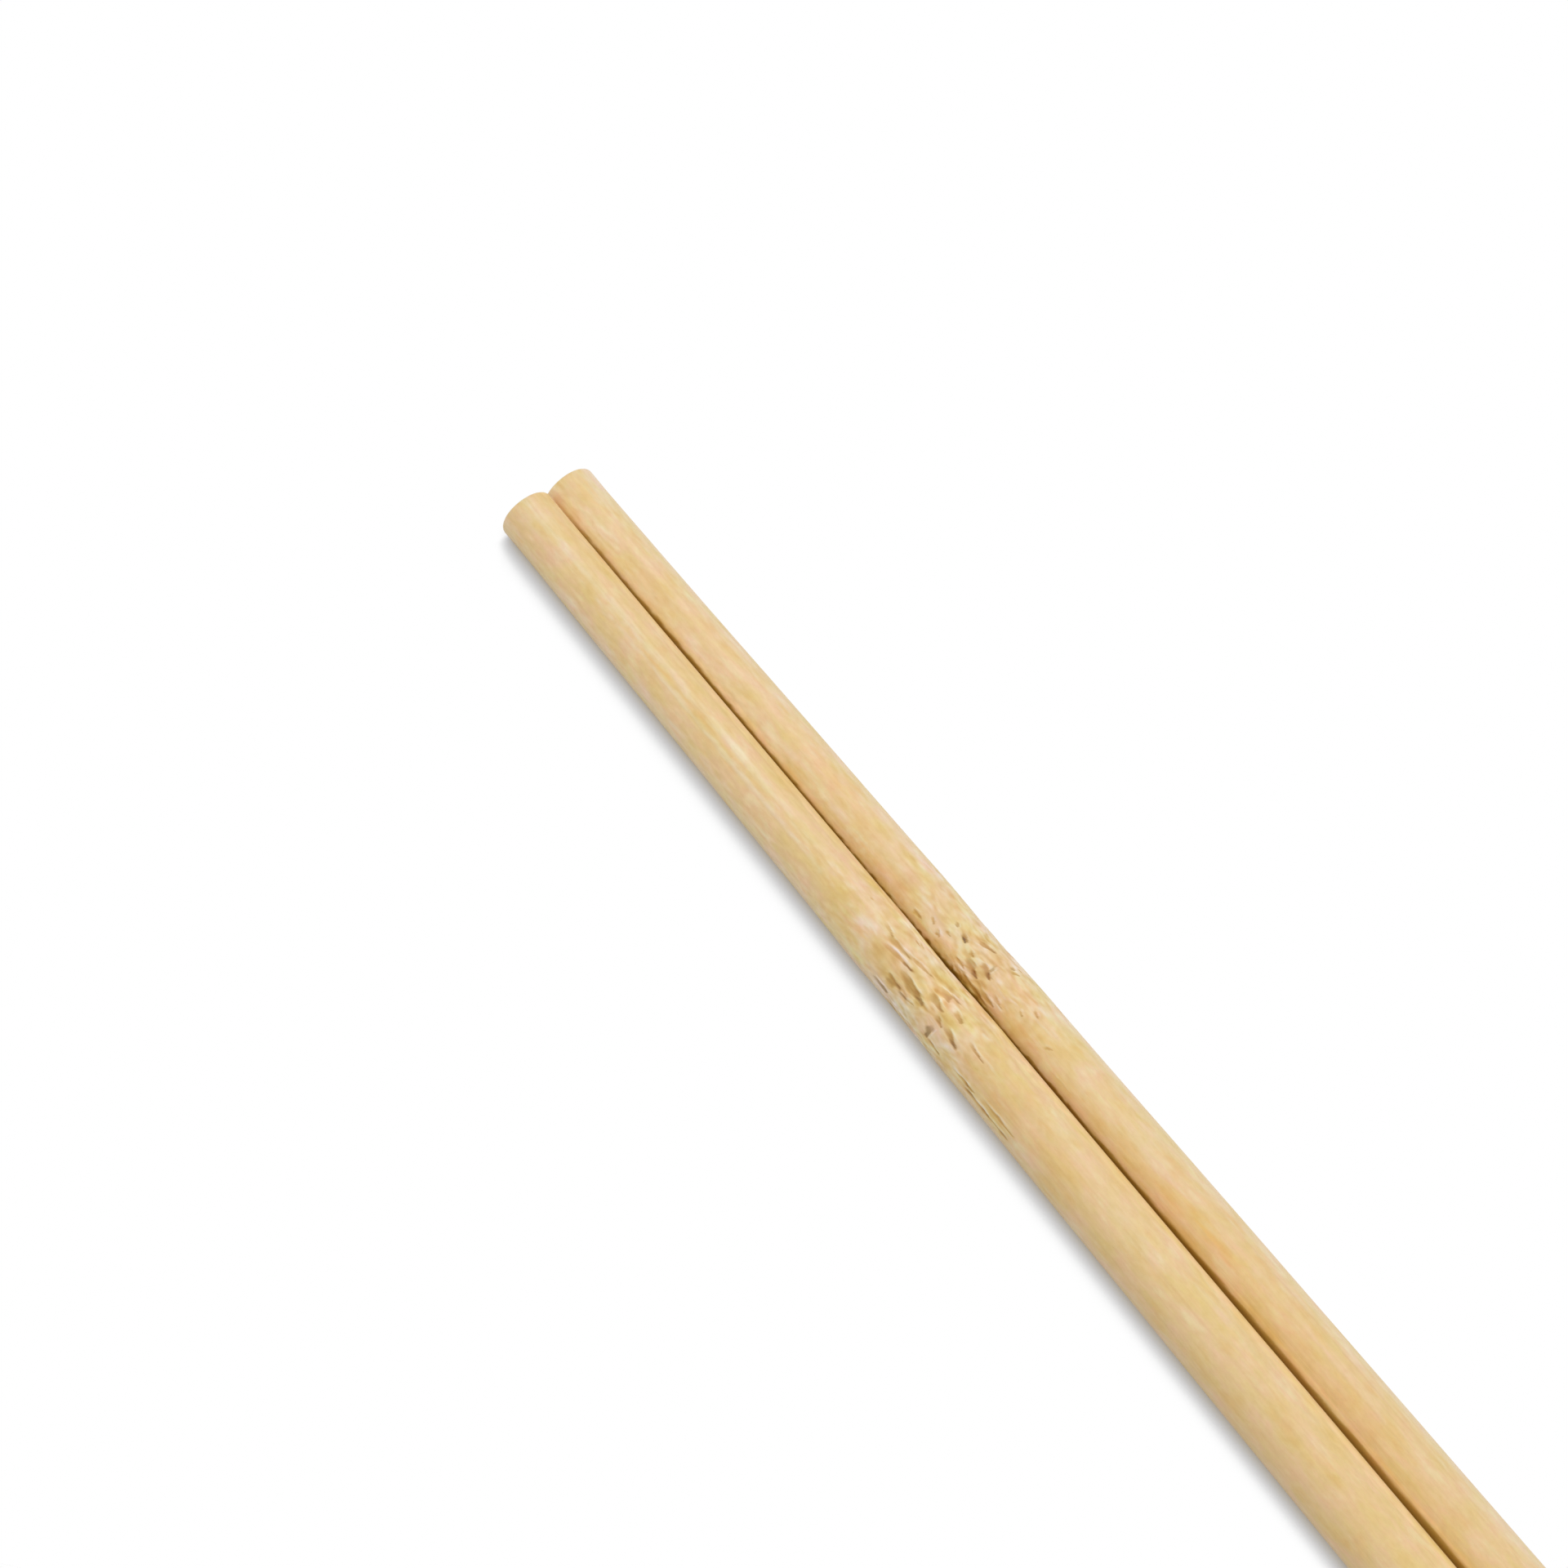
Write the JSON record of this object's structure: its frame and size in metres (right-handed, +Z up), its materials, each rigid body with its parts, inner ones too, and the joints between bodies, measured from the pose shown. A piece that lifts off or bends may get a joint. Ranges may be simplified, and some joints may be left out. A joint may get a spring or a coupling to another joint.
{
  "type": "pair of bamboo chopsticks",
  "caption": "Pair of plain round bamboo chopsticks lying side by side, each tapering evenly from a blunt tip to a thicker square-cut butt, with the cane's joint near the tip.",
  "frame": {"origin": "on the table surface, under the middle of the pair's bounding box", "axes": "+Z up from the table, +X along the pair from the tips to the butt ends, +Y from the left stick to the right one"},
  "size_m": [0.2406, 0.014, 0.007],
  "materials": {
    "bamboo": "bare bamboo, sanded satin, unvarnished"
  },
  "bodies": {
    "root": {"left_chopstick": "bamboo", "right_chopstick": "bamboo"}
  },
  "joints": []
}
